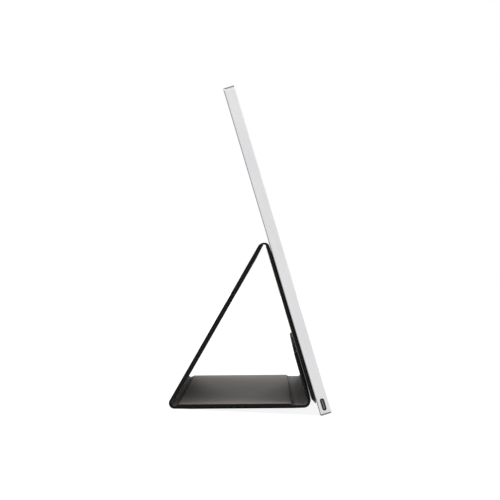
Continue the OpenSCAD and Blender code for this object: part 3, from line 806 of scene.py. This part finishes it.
def makePanels(facts):
    # Each panel is a skin and a lining lofted along it: their faces' heights over the outer plane are
    # eased from one thickness to the next
    rounds = (facts["edgeRound"], facts["seamRound"]), (facts["seamRound"], facts["liningRound"])
    half, skin, sheet = facts["width"] / 2, facts["skin"], facts["sheet"]

    # Back panel: from its free lower end up to the top fold
    length, taper = facts["foldHeight"] - facts["backLow"], facts["backTaper"]
    place = onPanel(facts["topCentre"], facts["topRadius"], facts["backAngle"], length)
    a = stations(length, [(0, taper)], 0.0)
    wide = roundedHalfWidth(a, 0.0, -1)
    high = eased(a, [0, taper], [facts["backEdge"], facts["panel"]])
    drop = endRound(a, 0.0, -1, facts["backEndRound"])
    pad = facts["backPad"] * eased(a, [0, facts["padStart"], length - taper, length], [0, 1, 1, 0])
    makeLayer("backPanelSkin", place, a, drop, np.full_like(a, skin), wide, rounds[0],
              "back_panel", "cover_leatherette", ("back_skin",), bulge=pad)
    makeLayer("backPanelLining", place, a, np.full_like(a, skin), high, wide, rounds[1],
              "back_panel", "cover_lining", ("back_lining",))

    # Strut: from the top fold down to the rear fold
    place = onPanel(facts["topCentre"], facts["topRadius"], facts["strutAngle"])
    length, (first, last) = facts["strutLength"], facts["strutTaper"]
    a = stations(length, [(length - first, length - last)])
    high = eased(a, [0, facts["strutStart"], length - first, length - last],
                 [facts["panel"], facts["strut"], facts["strut"], sheet])
    makeLayer("strutSkin", place, a, np.zeros_like(a), np.full_like(a, skin), half, rounds[0],
              "strut", "cover_leatherette", ("strut_skin",))
    makeLayer("strutLining", place, a, np.full_like(a, skin), high, half, rounds[1],
              "strut", "cover_lining", ("strut_lining",))

    # Base: from the rear fold forward to the front fold, with its board raised between. Painted deep shade
    # darkens the lining in a band at the foot of the board's front step, and painted half shade darkens it
    # behind the board, by the rear fold, and in a band just in front of the deep one.
    place = onPanel(facts["rearCentre"], facts["rearRadius"], facts["baseAngle"])
    length, seam = facts["baseLength"], facts["seamWidth"]
    rearStep, frontStep = facts["baseRear"][1], facts["baseFront"][1]
    halfShadeEnd = frontStep + 3 * seam
    a = stations(length, [facts["baseRear"], facts["baseFront"], (frontStep - seam, halfShadeEnd)])
    high = eased(a, [*facts["baseRear"], *facts["baseFront"]], [sheet, facts["base"], facts["base"], sheet])
    sagFrom, sagWhole, sagBack = facts["baseSagRun"]
    sag = facts["baseSag"] * eased(a, [sagFrom, sagWhole, length - sagBack, length], [0, 1, 1, 0])
    zones = [
        (0, rearStep, halfShadeLining),
        (frontStep - seam, frontStep + seam, seamLining),
        (frontStep + seam, halfShadeEnd, halfShadeLining),
        (halfShadeEnd, length, flattenedLining),
    ]
    makeLayer("baseSkin", place, a, -sag, np.full_like(a, skin), half, rounds[0],
              "base", "cover_leatherette", ("base_skin",))
    makeLayer("baseLining", place, a, np.full_like(a, skin), high, half, rounds[1],
              "base", "cover_lining", ("base_lining",), zones)

    # Flap: from the front fold up to its free tip, its skin padded out toward the back panel
    place = onPanel(facts["frontCentre"], facts["frontRadius"], facts["flapAngle"])
    length, (tipThick, tipLong) = facts["flapLength"], facts["flapTip"]
    a = stations(length, [facts["flapTaper"], (length - tipLong, length)], length)
    wide = roundedHalfWidth(a, length, 1)
    high = eased(a, [*facts["flapTaper"], length - tipLong, length],
                 [sheet, facts["flap"], facts["flap"], tipThick])
    drop = endRound(a, length, 1, facts["flapEndRound"])
    clearAtFold, clearAtTip = facts["padClear"]
    clear = clearAtFold + (clearAtTip - clearAtFold) * a / length
    start = eased(a, [0, facts["padStart"]], [0, 1])
    pad = (backGap(facts, a) - clear) * start + facts["frontPad"] * (1 - start)
    makeLayer("flapSkin", place, a, drop, np.full_like(a, skin), wide, rounds[0],
              "flap", "cover_leatherette", ("flap_skin",), bulge=pad)
    makeLayer("flapLining", place, a, np.full_like(a, skin), high, wide, rounds[1],
              "flap", "cover_lining", ("flap_lining",), [(0, facts["flapTaper"][0], flattenedLining)])


def topInner(a, turn, radius, panel, hole, reach):
    # Thickness of the top fold at a turn a: the panels' inner faces run on straight until they meet
    # the small hole, a circle whose centre stands at the given reach from the fold's own centre
    off = np.radians(np.abs(a - turn / 2))
    straight = (radius - panel) / np.cos(math.radians(turn / 2) - off)
    under = hole ** 2 - (reach * np.sin(off)) ** 2
    curved = np.where(under > 0, reach * np.cos(off) + np.sqrt(np.maximum(under, 0)), 0)
    return radius - np.where(off <= off[curved >= straight].max(), curved, straight)


def makeFolds(facts):
    # Each fold is a skin and a lining lofted round an arc from one panel's angle to the next
    rounds = (facts["edgeRound"], facts["seamRound"]), (facts["seamRound"], facts["liningRound"])
    half, skin, sheet = facts["width"] / 2, facts["skin"], facts["sheet"]
    folds = [
        # name, angles of the panels that it joins, and their bodies
        ("top", "backAngle", "strutAngle", ("back_panel", "strut")),
        ("rear", "strutAngle", "baseAngle", ("strut", "base")),
        ("front", "baseAngle", "flapAngle", ("base", "flap")),
    ]
    for name, before, after, bodies in folds:
        centre, radius, ease = facts[f"{name}Centre"], facts[f"{name}Radius"], facts[f"{name}Ease"]
        first, last = facts[before], facts[after]
        place, turn, node = onFold(centre, radius, first), last - first, f"{name}_fold"
        a = np.linspace(0, turn, facts["foldRows"])
        inner, bulge, zones = np.full_like(a, sheet), None, [(0, turn, flattenedLining)]
        if name == "top":
            inner = topInner(a, turn, radius, facts["panel"], *facts["topHole"])
        if name == "rear":
            # painted deep shade over the middle of the rear fold's inner face, in its crease
            pressed = [share * turn for share in facts["rearFoldShade"]]
            zones.append((*pressed, seamLining))
        if name == "front":
            bulge = facts["frontPad"] * eased(a, [facts["frontPadFrom"] * turn, turn], [0, 1])
        strips = [
            makeLayer(f"{name}FoldSkin", place, a, np.zeros_like(a), np.full_like(a, skin), half,
                      rounds[0], None, "cover_leatherette", (node,), bulge=bulge),
            makeLayer(f"{name}FoldLining", place, a, np.full_like(a, skin), inner, half,
                      rounds[1], None, "cover_lining", (node,), zones),
        ]
        for strip in strips:
            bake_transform(strip)


makePanels(coverFacts)
makeFolds(coverFacts)
print("cover made")
